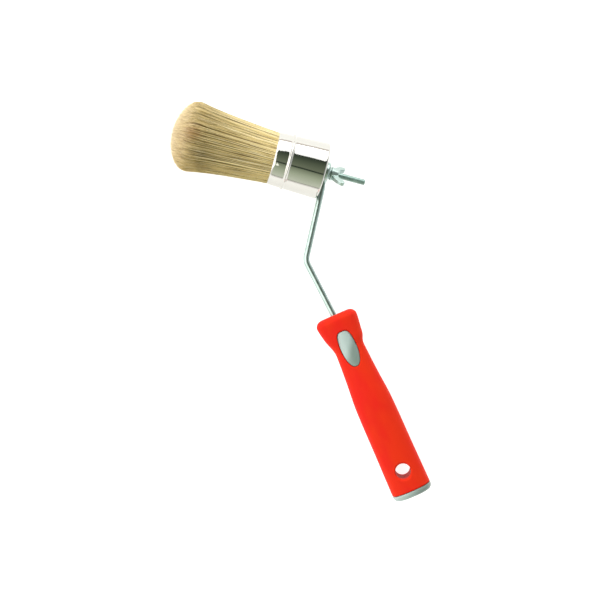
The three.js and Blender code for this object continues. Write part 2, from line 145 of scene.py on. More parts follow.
# One procedural material, or the world, being wired up
class Finish:
    def __init__(self, tree):
        self.tree = tree

    def feed(self, socket, value):
        if isinstance(value, Signal):
            self.tree.links.new(value.socket, socket)
        elif isinstance(value, (tuple, list)) and socket.type == "RGBA" and len(value) == 3:
            socket.default_value = (*value, 1)
        else:
            socket.default_value = value

    def add(self, kind, settings=None, inputs=None, output=0):
        node = self.tree.nodes.new(kind)
        for name, value in (settings or {}).items():
            if name == "stops":
                ramp = node.color_ramp
                while len(ramp.elements) < len(value):
                    ramp.elements.new(1.0)
                for element, (position, colour) in zip(ramp.elements, value):
                    element.position = position
                    element.color = (*colour, 1)
            else:
                setattr(node, name, value)
        for name, value in (inputs or {}).items():
            self.feed(node.inputs[name], value)
        return Signal(self, node.outputs[output])

    def blend(self, factor, low, high):
        return self.add("ShaderNodeMix", {"data_type": "RGBA"}, {0: factor, 6: low, 7: high}, 2)

    def attribute(self, name, output=2):
        return self.add("ShaderNodeAttribute", {"attribute_name": name}, output=output)

    # How far a place lies along a direction
    def along(self, place, direction):
        sockets = {0: place, 1: tuple(direction)}
        return self.add("ShaderNodeVectorMath", {"operation": "DOT_PRODUCT"}, sockets, "Value")

    def ramp(self, factor, stops):
        return self.add("ShaderNodeValToRGB", {"stops": stops}, {0: factor})

    # A piece's own coordinates, as it was modelled, with one or more of them scaled
    def places(self, scale=(1, 1, 1)):
        own = self.attribute("ownPlace", 1)
        return self.add("ShaderNodeMapping", None, {"Vector": own, "Scale": scale})

    def noise(self, where, scale, detail=3.0, rough=0.55):
        sizes = {"Vector": where, "Scale": scale, "Detail": detail, "Roughness": rough}
        return self.add("ShaderNodeTexNoise", None, sizes)

    def bump(self, height, distance, strength=1.0):
        inputs = {"Height": height, "Distance": distance, "Strength": strength}
        return self.add("ShaderNodeBump", None, inputs)


def newFinish(name, **sockets):
    material = bpy.data.materials.new(name)
    material.use_nodes = True
    finish = Finish(material.node_tree)
    finish.material = material
    finish.shader = material.node_tree.nodes["Principled BSDF"]
    setSockets(finish, sockets)
    return finish


def setSockets(finish, sockets):
    for name, value in sockets.items():
        finish.feed(finish.shader.inputs[name], value)


# Light: a pale dome, and round the head's axis a patch of bands that the tinned cup mirrors
studio = dict(
    leftDome=(1.0, 0.99, 0.96),
    rightDome=(0.52, 0.545, 0.55),
    card=(2.3, 2.3, 2.25),  # a bright white card
    paleSage=(0.80, 0.86, 0.72),
    sage=(0.52, 0.60, 0.44),
    shade=(0.26, 0.31, 0.21),
    olive=(0.205, 0.24, 0.165),
    midOlive=(0.12, 0.15, 0.10),
    darkest=(0.025, 0.037, 0.027),
    ends=((0.9, 0.88, 0.84), (0.95, 0.88, 0.84)),  # either side of the bands
    # degrees round the head's axis from straight above, + towards the far side
    sageFrom=-84,
    darkFrom=-21,
    darkTo=46,
    cardTo=79,
    patchNear=-0.56,  # how far the patch reaches along the head's axis
    patchFar=0.38,
    softLeft=dict(place=(-1.0, 0.4, 0.95), size=(1.7, 1.7), power=12, colour=(1.0, 0.975, 0.93)),
    softFar=dict(place=(0.35, 1.25, 0.9), size=(2.2, 1.4), power=17, colour=(0.97, 0.985, 1.0)),
    floorColour=(0.45, 0.45, 0.448),
    floorGlow=0.90,
    floorGlowColour=(1, 0.995, 0.985),
)


def lightWorld():
    world = bpy.data.worlds.new("studio")
    bpy.context.scene.world = world
    world.use_nodes = True
    sky = Finish(world.node_tree)
    direction = sky.add("ShaderNodeTexCoord")
    across = sky.along(direction, headFrame.col[0][:3])
    outwards = sky.along(direction, -studOut)
    up = sky.along(direction, faceUp)
    angle = across.math("ARCTAN2", across, up) * (0.5 / math.pi) + 0.5
    sageFrom, darkFrom, darkTo, cardTo = (studio[key] for key in ("sageFrom", "darkFrom", "darkTo", "cardTo"))
    dark, card = studio["darkest"], studio["card"]
    bands = [
        (sageFrom - 3, studio["ends"][0]),
        (sageFrom - 1.2, dark),
        (sageFrom, studio["paleSage"]),
        (darkFrom - 28, studio["sage"]),
        (darkFrom - 4, studio["shade"]),
        (darkFrom - 1.5, dark),
        (darkFrom + 1, dark),
        (darkFrom + 4, studio["olive"]),
        (darkTo - 38, studio["midOlive"]),
        (darkTo - 14, dark),
        (darkTo - 1, dark),
        (darkTo, card),
        (cardTo, card),
        (cardTo + 1, dark),
        (cardTo + 3, studio["ends"][1]),
    ]
    patch = sky.ramp(angle, [(degrees / 360 + 0.5, colour) for degrees, colour in bands])
    leftToRight = sky.along(direction, imageRight).between(-0.7, 0.7)
    dome = sky.blend(leftToRight, studio["leftDome"], studio["rightDome"])
    near, far = studio["patchNear"], studio["patchFar"]
    inPatch = outwards.between(near - 0.06, near + 0.06) * (1 - outwards.between(far - 0.04, far + 0.04))
    sky.feed(world.node_tree.nodes["Background"].inputs["Color"], sky.blend(inPatch, dome, patch))


def addLamp(name, place, size, power, colour):
    lamp = bpy.data.objects.new(name, bpy.data.lights.new(name, "AREA"))
    bpy.context.scene.collection.objects.link(lamp)
    lamp.data.shape = "RECTANGLE"
    lamp.data.size, lamp.data.size_y = size
    lamp.data.energy = power
    lamp.data.color = colour
    facing = Vector(place).to_track_quat("Z", "Y").to_matrix().to_4x4()
    lamp.matrix_world = Matrix.Translation(place) @ facing


def addFloor():
    bpy.ops.mesh.primitive_plane_add(size=8, location=(0, 0, -0.0006))
    floor = bpy.context.object
    floor.name = "floor"
    paper = newFinish("floorPaper", Roughness=0.9)
    where = paper.add("ShaderNodeTexCoord", output="Object")
    grain = paper.noise(where, 900, 4)
    base = studio["floorColour"]
    setSockets(paper, {
        "Base Color": paper.blend(grain, base, tuple(0.98 * part for part in base)),
        "Emission Color": studio["floorGlowColour"],
        "Emission Strength": studio["floorGlow"],
    })
    floor.data.materials.append(paper.material)


lightWorld()
for lampName in ("softLeft", "softFar"):
    addLamp(lampName, **studio[lampName])
addFloor()
bpy.context.scene.view_settings.view_transform = "Standard"
print("light and floor set")


def editOnly(piece):
    if bpy.context.mode != "OBJECT":
        bpy.ops.object.mode_set(mode="OBJECT")
    bpy.ops.object.select_all(action="DESELECT")
    piece.select_set(True)
    bpy.context.view_layer.objects.active = piece


def startEdit(name):
    piece = bpy.context.object
    piece.name = name
    bpy.ops.object.mode_set(mode="EDIT")
    bpy.ops.mesh.select_all(action="SELECT")
    return piece


def endEdit(piece):
    bpy.ops.object.mode_set(mode="OBJECT")
    editOnly(piece)
    return piece


# Selects the vertices that a test of their place picks, in vertex mode
def pick(piece, test):
    bpy.ops.mesh.select_mode(type="VERT")
    bpy.ops.mesh.select_all(action="DESELECT")
    mesh = bmesh.from_edit_mesh(piece.data)
    for vertex in mesh.verts:
        vertex.select = bool(test(vertex.co))
    mesh.select_flush_mode()
    bmesh.update_edit_mesh(piece.data)


def drawChain(name, points):
    bpy.ops.object.select_all(action="DESELECT")
    bpy.ops.mesh.primitive_plane_add(size=0.001)
    piece = startEdit(name)
    bpy.ops.mesh.merge(type="CENTER")
    bpy.ops.transform.translate(value=points[0])
    for near, far in zip(points, points[1:]):
        step = tuple(there - here for here, there in zip(near, far))
        bpy.ops.mesh.extrude_vertices_move(TRANSFORM_OT_translate={"value": step})
    bpy.ops.mesh.select_all(action="SELECT")
    return piece


# A profile of (radius, height) points turned about Y. The profile of a wall ends where it starts.
def turnProfile(name, profile, steps):
    piece = drawChain(name, [(radius, height, 0) for radius, height in profile])
    bpy.ops.mesh.spin(steps=steps, angle=2 * math.pi, center=(0, 0, 0), axis=(0, 1, 0))
    closeUp()
    return endEdit(piece)


def closeUp():
    bpy.ops.mesh.select_all(action="SELECT")
    bpy.ops.mesh.remove_doubles(threshold=2e-6)
    bpy.ops.mesh.normals_make_consistent(inside=False)


# Points of an arc in a profile, in degrees from +X towards +Y
def arc(centre, radius, start, end, count):
    points = []
    for i in range(count + 1):
        angle = math.radians(start + (end - start) * i / count)
        points.append((centre[0] + radius * math.cos(angle), centre[1] + radius * math.sin(angle)))
    return points


def modify(piece, kind, **settings):
    editOnly(piece)
    modifier = piece.modifiers.new(kind.lower(), kind)
    for name, value in settings.items():
        setattr(modifier, name, value)
    bpy.ops.object.modifier_apply(modifier=modifier.name)


def cut(piece, cutter, operation="DIFFERENCE"):
    modify(piece, "BOOLEAN", object=cutter, operation=operation, solver="EXACT")
    bpy.data.objects.remove(cutter)


# Rounds every edge a little, as a moulding or a casting has it
def soften(piece, voxel, passes):
    modify(piece, "REMESH", mode="VOXEL", voxel_size=voxel, use_smooth_shade=True)
    modify(piece, "SMOOTH", factor=0.5, iterations=passes)


def smooth(piece, degrees):
    editOnly(piece)
    bpy.ops.object.shade_smooth_by_angle(angle=math.radians(degrees))


# Keeps the modelling coordinates for the materials, then puts the piece where it belongs
def finishPiece(piece, where, body, nodes, finish):
    mesh = piece.data
    flat = np.empty(3 * len(mesh.vertices), np.float32)
    mesh.vertices.foreach_get("co", flat)
    own = mesh.attributes.new("ownPlace", "FLOAT_VECTOR", "POINT")
    own.data.foreach_set("vector", flat)
    editOnly(piece)
    piece.matrix_world = where
    bpy.ops.object.transform_apply(location=True, rotation=True, scale=True)
    mesh.materials.clear()
    mesh.materials.append(finish.material)
    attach(piece, body)
    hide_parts(*nodes)
    print("made", piece.name, len(mesh.vertices), "points")


def zincFinish():
    zinc = newFinish("brightZinc", Metallic=1.0)
    cloud = zinc.noise(zinc.places(), 260, 4)
    specks = zinc.noise(zinc.places(), 2600, 2)
    colour = zinc.blend(cloud.between(0.3, 0.7), (0.40, 0.505, 0.47), (0.50, 0.61, 0.575))
    setSockets(zinc, {
        "Base Color": zinc.blend(specks.between(0.62, 0.78) * 0.2, colour, (0.33, 0.40, 0.37)),
        "Roughness": 0.22 + 0.16 * cloud,
        "Normal": zinc.bump(specks * 0.1 + cloud, 0.00004),
    })
    return zinc


def tinFinish():
    tin = newFinish("tinplate", Metallic=1.0)
    smear = tin.noise(tin.places((1, 0.35, 1)), 90, 3)
    scratches = tin.noise(tin.places((1, 14, 1)), 420, 2)
    waves = tin.noise(tin.places((1, 0.5, 1)), 70, 1)
    setSockets(tin, {
        "Base Color": tin.blend(smear, (0.60, 0.59, 0.55), (0.66, 0.645, 0.605)),
        "Roughness": 0.045 + 0.06 * smear + 0.05 * scratches.between(0.6, 0.8),
        "Normal": tin.bump(waves + 0.02 * scratches, 0.00022),
    })
    return tin


ferrule = dict(
    baseRadius=0.0224,
    mouthRadius=0.0208,
    length=0.0407,
    wall=0.0006,
    corner=0.0016,
    beadFromMouth=0.012,
    beadHeight=0.0011,
    beadHalf=0.0014,
    beadEase=(0.0022, 0.0034),  # the wall is straight again so far from the bead's middle
    holeClear=0.0001,
    edge=0.0002,  # half the softened edge of the stamped seat
    seatMargin=0.0012,
    seatSlope=0.0006,
    eyeThickness=0.0036,
    lip=0.0026,  # the mouth turns in over this length
    lipIn=0.00052,
)
seatRadius = eyeRadius + tool["wireRadius"] + ferrule["seatMargin"]
seatStep = -eyeAt - ferrule["eyeThickness"] / 2 - tool["seat"]


def ferruleRadiusAt(up):
    share = up / ferrule["length"]
    return ferrule["baseRadius"] + (ferrule["mouthRadius"] - ferrule["baseRadius"]) * share


def makeFerrule():
    wall, corner, lip = ferrule["wall"], ferrule["corner"], ferrule["lip"]
    hole, edge = tool["studRadius"] + ferrule["holeClear"], ferrule["edge"]
    top, foot = ferrule["length"], seatRadius + ferrule["seatSlope"]
    bead = top - ferrule["beadFromMouth"]
    near, far = ferrule["beadEase"]
    outer = [(hole, -seatStep), (seatRadius - edge, -seatStep), (seatRadius + edge, -seatStep + edge / 2)]
    outer += [(foot - edge, -edge / 2), (foot + 1.5 * edge, 0)]
    outer += arc((ferruleRadiusAt(0) - corner, corner), corner, -90, 0, 9)
    outer += [(ferruleRadiusAt(up), up) for up in (0.003, bead - far, bead - near)]
    for i in range(17):
        share = -1 + i / 8
        rise = ferrule["beadHeight"] * (0.5 + 0.5 * math.cos(math.pi * share))
        up = bead + 1.25 * ferrule["beadHalf"] * share
        outer.append((ferruleRadiusAt(up) + rise, up))
    outer += [(ferruleRadiusAt(up), up) for up in (bead + near, bead + far, top - lip - 0.0006)]
    for i in range(7):
        share = i / 6
        radius = ferruleRadiusAt(top) - ferrule["lipIn"] * share ** 2
        outer.append((radius, top - lip * (1 - share) - 0.0001))
    inner = [(ferruleRadiusAt(top) - wall, top), (ferruleRadiusAt(corner) - wall, corner)]
    inner += [(ferruleRadiusAt(0) - corner, wall), (seatRadius, wall)]
    inner += [(seatRadius - ferrule["seatSlope"], wall - seatStep), (hole, wall - seatStep)]
    piece = turnProfile("ferruleShell", [*outer, *inner, outer[0]], 160)
    smooth(piece, 40)
    finishPiece(piece, headFrame, "brush_head", ["ferrule_cup"], tinFinish())


stud = dict(
    reach=0.0339,
    pitch=0.0008,
    root=0.00208,
    toothSteps=20,  # faces round one turn of the thread
    chamfer=0.0006,
    headAt=0.0024,
    headSink=0.001,  # the thread runs so far into the head
    headHeight=0.0035,
    headFlats=0.008,
    headEdge=0.0004,
)
nut = dict(
    at=-0.006,  # the face that clamps
    hubLow=0.0055,
    hubHigh=0.0043,
    hubHeight=0.0064,
    hubEdge=0.0008,
    wingHalf=0.0128,
    wingHeight=0.0116,
    wingThickness=0.0036,
    wingTaper=0.78,
    wingTurn=51,  # degrees
    voxel=0.00022,
    bore=0.00262,
    boreMouth=0.0008,
)
washer = dict(outer=0.005, boreClear=0.00015, thickness=0.001, edge=0.00018, top=-0.0047)


def makeStud(zinc):
    crest, root, pitch = tool["studRadius"], stud["root"], stud["pitch"]
    low, high = -stud["reach"], stud["headAt"]
    turns = math.ceil((high - low) / pitch) + 4
    start = low - 2 * pitch
    tooth = [(root, 0), (crest, 0.38 * pitch), (crest, 0.62 * pitch), (root, pitch)]
    thread = drawChain("threadedStud", [(radius, start + up, 0) for radius, up in tooth])
    endEdit(thread)
    steps = stud["toothSteps"]
    modify(thread, "SCREW", axis="Y", angle=2 * math.pi, screw_offset=pitch, iterations=turns, steps=steps,
           render_steps=steps, use_merge_vertices=True, merge_threshold=2e-6)
    bpy.ops.object.mode_set(mode="EDIT")
    closeUp()
    end = high + stud["headSink"]
    for height, side in ((low, -1), (end, 1)):
        bpy.ops.mesh.select_all(action="SELECT")
        bpy.ops.mesh.bisect(plane_co=(0, height, 0), plane_no=(0, side, 0), use_fill=True, clear_outer=True)
    closeUp()
    endEdit(thread)
    tipRadius, around = crest - stud["chamfer"], crest + 0.0001
    outline = [(0, low), (tipRadius, low), (around, low + stud["chamfer"]), (around, end), (0, end)]
    cut(thread, turnProfile("studTip", outline, 32), "INTERSECT")
    bpy.ops.mesh.primitive_cylinder_add(vertices=6, radius=stud["headFlats"] / math.sqrt(3),
                                        depth=stud["headHeight"], rotation=(math.pi / 2, 0, 0),
                                        location=(0, high + stud["headHeight"] / 2, 0))
    head = startEdit("studHead")
    bpy.ops.mesh.bevel(offset=stud["headEdge"], segments=2, affect="EDGES")
    endEdit(head)
    bpy.ops.object.transform_apply(location=True, rotation=True, scale=True)
    cut(thread, head, "UNION")
    smooth(thread, 28)
    finishPiece(thread, headFrame, "brush_head", ["stud_bolt"], zinc)


def makeWasher(zinc):
    edge, top = washer["edge"], washer["top"]
    bore, rim = tool["studRadius"] + washer["boreClear"], washer["outer"]
    low = top - washer["thickness"]
    outline = [(bore, low), (rim - edge, low), (rim, low + edge), (rim, top - edge), (rim - edge, top)]
    piece = turnProfile("flatWasher", [*outline, (bore, top), (bore, low)], 72)
    smooth(piece, 50)
    finishPiece(piece, headFrame, "washer", ["flat_washer"], zinc)


# One wing, in outline from the stud's middle outwards, cut from thick plate and thinned to its end
def wingBlank(name, turn):
    half, high, thick = nut["wingHalf"], nut["wingHeight"], nut["wingThickness"]
    hub, hubHeight = nut["hubLow"], nut["hubHeight"]
    outline = [(0, 0.0008), (hub - 0.0006, 0.0008), (half - 0.0046, 0.0027), (half - 0.0016, 0.0058)]
    outline += [(half - 0.0002, high - 0.0034), (half, high - 0.0016), (half - 0.0007, high - 0.0004)]
    outline += [(half - 0.0022, high), (half - 0.0044, high - 0.0007), (hub + 0.0010, hubHeight + 0.0008)]
    outline += [(hub - 0.0012, hubHeight - 0.0005), (0, hubHeight - 0.0005)]
    blank = drawChain(name, [(x, nut["at"] - y, -thick / 2) for x, y in outline])
    bpy.ops.mesh.edge_face_add()
    bpy.ops.mesh.extrude_region_move(TRANSFORM_OT_translate={"value": (0, 0, thick)})
    closeUp()
    pick(blank, lambda place: place.x > 0.6 * half)
    bpy.ops.transform.resize(value=(1, 1, nut["wingTaper"]), center_override=(0, 0, 0))
    endEdit(blank)
    blank.matrix_world = Matrix.Rotation(math.radians(nut["wingTurn"] + turn), 4, "Y")
    bpy.ops.object.transform_apply(location=False, rotation=True, scale=False)
    return blank


def makeWingNut(zinc):
    top = nut["at"] - nut["hubHeight"]
    low, high, edge = nut["hubLow"], nut["hubHigh"], nut["hubEdge"]
    profile = [(0, top), (high - edge, top), (high, top + edge), (low, nut["at"] - 0.0004)]
    piece = turnProfile("wingNut", [*profile, (low - 0.0004, nut["at"]), (0, nut["at"])], 48)
    cut(piece, wingBlank("nearWing", 0), "UNION")
    cut(piece, wingBlank("farWing", 180), "UNION")
    soften(piece, nut["voxel"], 6)
    bore, mouth = nut["bore"], nut["bore"] + nut["boreMouth"]
    hole = [(0, top - 0.006), (mouth, top - 0.006), (mouth, top - 0.0001), (bore, top + 0.0006)]
    hole += [(bore, nut["at"] + 0.001), (0, nut["at"] + 0.001)]
    cut(piece, turnProfile("nutBore", hole, 40))
    smooth(piece, 50)
    finishPiece(piece, headFrame, "nut", ["wing_nut"], zinc)


wire = dict(
    sides=24,
    shankTilt=1.1,  # degrees the shank closes on the ferrule base towards the eye
    riseTilt=41.2,
    shankLength=0.0705,
    bendRadius=0.011,
    riseLength=0.048,
    inHandle=0.056,
    eyeWrap=288,
    eyeSteps=44,
    pressRun=0.003,  # the pressed eye becomes round wire over this length
    boreClear=0.00025,
)


def heading(degrees):
    return Vector((math.cos(math.radians(degrees)), math.sin(math.radians(degrees)), 0))


def extrudeBy(step):
    bpy.ops.mesh.extrude_region_move(TRANSFORM_OT_translate={"value": tuple(step)})


def turnAbout(axis, degrees, centre):
    bpy.ops.transform.rotate(value=math.radians(degrees), orient_axis=axis, center_override=tuple(centre))


def makeWire(zinc):
    radius = tool["wireRadius"]
    begin = Vector((0, eyeAt, -eyeRadius))
    bpy.ops.mesh.primitive_circle_add(vertices=wire["sides"], radius=radius, location=begin,
                                      rotation=(0, math.pi / 2, 0))
    piece = bpy.context.object
    bpy.ops.object.transform_apply(location=True, rotation=True, scale=True)
    startEdit("wireFrame")
    bpy.ops.mesh.spin(steps=wire["eyeSteps"], angle=math.radians(wire["eyeWrap"]), center=(0, eyeAt, 0),
                      axis=(0, 1, 0))
    bpy.ops.mesh.edge_face_add()
    bpy.ops.mesh.bevel(offset=0.0006, segments=3)
    pick(piece, lambda place: abs(place.x) < 1e-6 and place.z < -eyeRadius + 1.1 * radius)
    shank, rise = heading(wire["shankTilt"]), heading(wire["riseTilt"])
    bend = wire["riseTilt"] - wire["shankTilt"]
    setback = wire["bendRadius"] * math.tan(math.radians(bend / 2))
    extrudeBy(-shank * seatRadius)
    for step in range(3):
        extrudeBy(-shank * wire["pressRun"] / 3)
    extrudeBy(-shank * (wire["shankLength"] - setback - seatRadius - wire["pressRun"]))
    bendStart = begin - shank * (wire["shankLength"] - setback)
    inward = Vector((shank.y, -shank.x, 0))
    bpy.ops.mesh.spin(steps=10, angle=math.radians(-bend), center=bendStart + inward * wire["bendRadius"],
                      axis=(0, 0, 1))
    extrudeBy(-rise * (wire["riseLength"] - setback))
    extrudeBy(-rise * wire["inHandle"])
    bpy.ops.mesh.edge_face_add()
    bpy.ops.mesh.bevel(offset=0.0005, segments=2)
    closeUp()
    # Presses the eye flat, and the rings between it and the round wire less and less
    half, run, reach = ferrule["eyeThickness"] / 2, wire["pressRun"], 0.0002
    for step in range(3, -1, -1):
        edge = -seatRadius - run * step / 3
        flat = half + (radius - half) * step / 3
        slope = math.sin(math.radians(wire["shankTilt"])) * (step > 0)
        level = eyeAt - (seatRadius + run * step / 3) * slope
        for side in (-1, 1):
            beyond = level + side * flat
            pick(piece, lambda place: place.x > edge - reach and side * (place.y - beyond) > 0
                 and (step == 0 or place.x < edge + reach))
            bpy.ops.transform.resize(value=(1, 0, 1), center_override=(0, beyond, 0))
    endEdit(piece)
    smooth(piece, 32)
    finishPiece(piece, headFrame, "handle", ["wire_frame"], zinc)


# The handle's outline to its left and right and its half depth, as (distance down, size), in millimetres
handle = dict(
    left=[(0, 17.1), (6, 17.4), (17.5, 15.2), (22, 13.6), (27, 12.2), (31, 11.9), (53, 13.2), (75, 14.9),
          (114, 15.35), (153, 15.85)],
    right=[(0, 15.9), (6, 16.2), (17.5, 14.7), (22, 14.1), (27, 12.0), (31, 11.9), (53, 13.2), (75, 14.9),
           (114, 15.35), (153, 15.85)],
    depth=[(0, 11.6), (6, 11.6), (17.5, 11.3), (22, 11.1), (27, 10.7), (31, 10.4), (53, 11.8), (75, 13.4),
           (114, 13.8), (153, 14.0)],
    neckAt=31,
    sectionPower=2.35,
    sectionSides=96,
    coreSides=48,
    headRound=5.2,
    buttRound=3.6,
    gripWall=2.6,
    gripRoof=5,
    windowFloor=5.6,
    coreWall=2.4,
    coreHollowAt=66,
    capLength=4.7,
    spigotLength=4.6,
    spigotWall=1.8,
    hangHole=6,
    hangHoleFromButt=21.5,
    hangMouthRound=2.4,
    liningWall=1.6,
    bossWall=1.7,
    capEdge=0.00035,  # metres, as the voxel is
    voxel=0.00046,
)
pad = dict(
    top=14,
    widestAt=27,
    bottom=42.8,
    halfWidth=6.25,
    offset=-0.1,
    fullness=(0.5, 0.88),  # squareness of the outline above and below the widest place
    outlineSteps=56,
    low=4.0,  # heights of the prism it is cut from
    high=14.0,
    crownWidth=10.6,  # half sizes of the ball that crowns it
    crownLength=50,
    crownHeight=11.5,
    voxel=0.00024,
)
mm = 0.001


# A smooth outline through (distance down, size) points, in millimetres
def outlineAt(points, down):
    down = min(max(down, points[0][0]), points[-1][0])
    i = max(k for k in range(len(points) - 1) if points[k][0] <= down)
    spots = [points[max(i - 1, 0)], points[i], points[i + 1], points[min(i + 2, len(points) - 1)]]
    span = spots[2][0] - spots[1][0]
    share = (down - spots[1][0]) / span
    slopes = []
    for near, far in ((spots[0], spots[2]), (spots[1], spots[3])):
        slopes.append((far[1] - near[1]) / max(far[0] - near[0], 1e-6) * span)
    square, cube = share ** 2, share ** 3
    ends = (2 * cube - 3 * square + 1) * spots[1][1] + (3 * square - 2 * cube) * spots[2][1]
    return ends + (cube - 2 * square + share) * slopes[0] + (cube - square) * slopes[1]


# Middle, half width and half depth of the handle so far below its top
def sectionAt(down, inset=0.0, core=False):
    at = max(down, handle["neckAt"]) if core else down
    left, right, depth = (outlineAt(handle[key], at) for key in ("left", "right", "depth"))
    return (right - left) / 2, (right + left) / 2 - inset, depth - inset


# One closed body of the handle's section, from a face that is extruded ring by ring
def handleBody(name, start, end, inset=0.0, core=False, startRound=0.0, endRound=0.0, step=3.0, sides=None):
    places = [start, end]
    for size, edge, sign in ((startRound, start, 1), (endRound, end, -1)):
        if size:
            turns = [math.cos(math.radians(angle)) for angle in range(12, 91, 13)]
            places += [edge + sign * size * (1 - turn) for turn in turns]
    straight = end - start - startRound - endRound
    count = max(round(straight / step), 1)
    places += [start + startRound + straight * i / count for i in range(1, count)]
    places.sort()

    def rounding(gap, size):
        return size - math.sqrt(max(size ** 2 - max(size - gap, 0) ** 2, 0)) if gap < size else 0

    rings = []
    for at in places:
        less = inset + rounding(at - start, startRound) + rounding(end - at, endRound)
        rings.append((at, *sectionAt(at, less, core)))
    at, middle, width, depth = rings[0]
    bpy.ops.object.select_all(action="DESELECT")
    bpy.ops.mesh.primitive_plane_add(size=2 * mm)
    piece = startEdit(name)
    segments = (sides or handle["sectionSides"]) // 4
    profile = 0.5 ** (2 / handle["sectionPower"])
    bpy.ops.mesh.bevel(affect="VERTICES", offset=mm, segments=segments, profile=profile)
    bpy.ops.mesh.select_all(action="SELECT")
    bpy.ops.mesh.remove_doubles(threshold=2e-6)
    turnAbout("X", 90, (0, 0, 0))
    bpy.ops.transform.translate(value=(middle * mm, -at * mm, 0))
    bpy.ops.transform.resize(value=(width, 1, depth), center_override=(middle * mm, -at * mm, 0))
    for (lastAt, lastMiddle, lastWidth, lastDepth), (at, middle, width, depth) in zip(rings, rings[1:]):
        extrudeBy(((middle - lastMiddle) * mm, (lastAt - at) * mm, 0))
        grow = (width / lastWidth, 1, depth / lastDepth)
        bpy.ops.transform.resize(value=grow, center_override=(middle * mm, -at * mm, 0))
    closeUp()
    return endEdit(piece)


# A plainer body for what is inside the handle, straight up from its neck
def innerBody(name, start, end, inset, step=8):
    return handleBody(name, start, end, inset, core=True, sides=handle["coreSides"], step=step)


# Places and sizes on the handle, in millimetres
capAt = 1000 * tool["handleLength"] - handle["capLength"]
hangAt = 1000 * tool["handleLength"] - handle["hangHoleFromButt"]
seat = 1000 * tool["seat"]
coreInset = handle["gripWall"] + seat
bossRadius = handle["hangHole"] + handle["liningWall"] + seat + handle["bossWall"]


# A bar right through the handle at the hanging hole, or the hole's cutter with its rounded mouths
def crossBar(name, radius, flare=0.0, sides=handle["coreSides"]):
    depth = sectionAt(hangAt)[2]
    far = depth + 4
    half = [(0, -far), (radius + flare, -far)]
    if flare:
        mouth = arc((radius + flare, -depth + flare - 0.25), flare, -90, -180, 10)
        half = [(0, -far), (radius + 1.6 * flare, -far), (radius + 1.6 * flare, -depth - 0.25), *mouth]
    points = [*half, *[(x, -y) for x, y in reversed(half)]]
    bar = turnProfile(name, [(x * mm, y * mm) for x, y in points], sides)
    bar.matrix_world = Matrix.Translation((0, -hangAt * mm, 0)) @ Matrix.Rotation(math.pi / 2, 4, "X")
    bpy.ops.object.transform_apply(location=True, rotation=True, scale=True)
    return bar


# The outline of the thumb pad, grown all round, as a prism that stands up from the handle's middle
def padPrism(name, grow, low, high=30.0):
    points = []
    steps = pad["outlineSteps"]
    for i in range(steps):
        angle = 2 * math.pi * i / steps
        up, across = math.sin(angle), math.cos(angle)
        reach = pad["widestAt"] - pad["top"] if up > 0 else pad["bottom"] - pad["widestAt"]
        across = math.copysign(abs(across) ** pad["fullness"][0 if up > 0 else 1], across)
        x = pad["offset"] + across * (pad["halfWidth"] + grow)
        points.append((x * mm, (up * (reach + grow) - pad["widestAt"]) * mm, low * mm))
    prism = drawChain(name, points)
    bpy.ops.mesh.edge_face_add()
    extrudeBy((0, 0, (high - low) * mm))
    closeUp()
    return endEdit(prism)


# The wire's way into the handle, from 11 mm outside it to 1 mm past the wire's end. The handle is turned
# about its length, so this is turned back.
def wireBore(name):
    radius = tool["wireRadius"] + wire["boreClear"]
    rise = headFrame.to_3x3() @ heading(wire["riseTilt"])
    shank = headFrame.to_3x3() @ heading(wire["shankTilt"])
    corner = headFrame @ Vector((0, eyeAt, -eyeRadius)) - shank * wire["shankLength"]
    entry = handleFrame.inverted() @ (corner - rise * wire["riseLength"])
    down = -(handleFrame.to_3x3().inverted() @ rise)
    length = wire["inHandle"] + 0.012
    bpy.ops.object.select_all(action="DESELECT")
    bpy.ops.mesh.primitive_cylinder_add(vertices=40, radius=radius, depth=length)
    bore = startEdit(name)
    bpy.ops.mesh.subdivide(number_cuts=1)
    endEdit(bore)
    middle = entry + down * (length / 2 - 0.011)
    bore.matrix_world = Matrix.Translation(middle) @ down.to_track_quat("Z", "X").to_matrix().to_4x4()
    bpy.ops.object.transform_apply(location=True, rotation=True, scale=True)
    return bore


def redFinish():
    red = newFinish("redPlastic", **{"Specular IOR Level": 0.03})
    cloud = red.noise(red.places((1, 0.5, 1)), 55, 2)
    grain = red.noise(red.places(), 3800, 2)
    scuffs = red.noise(red.places((1, 0.12, 1)), 900, 2).between(0.66, 0.80)
    setSockets(red, {
        "Base Color": red.blend(cloud.between(0.3, 0.7), (0.73, 0.020, 0.012), (0.75, 0.033, 0.010)),
        "Roughness": 0.42 + 0.08 * cloud + 0.10 * scuffs,
        "Normal": red.bump(grain, 0.00004, 0.6),
    })
    return red


# The grey plastic is painted lighter towards one side, as painted light. The painted light runs from the second
# number to the third along the direction given first.
def greyFinish(name, litSide):
    grey = newFinish(name)
    cloud = grey.noise(grey.places((1, 0.6, 1)), 80, 3)
    grain = grey.noise(grey.places(), 3200, 2)
    own = grey.attribute("ownPlace", 1)
    # Painted light: lighter towards one side of the piece, darker towards the other
    pale = (grey.along(own, litSide[0]) + 0.003 * (cloud - 0.5)).between(litSide[1], litSide[2])
    setSockets(grey, {
        "Base Color": grey.blend(pale * 0.85 + cloud * 0.15, (0.20, 0.265, 0.235), (0.43, 0.53, 0.51)),
        "Roughness": 0.26 + 0.12 * cloud,
        "Normal": grey.bump(grain, 0.00005, 0.7),
    })
    return grey


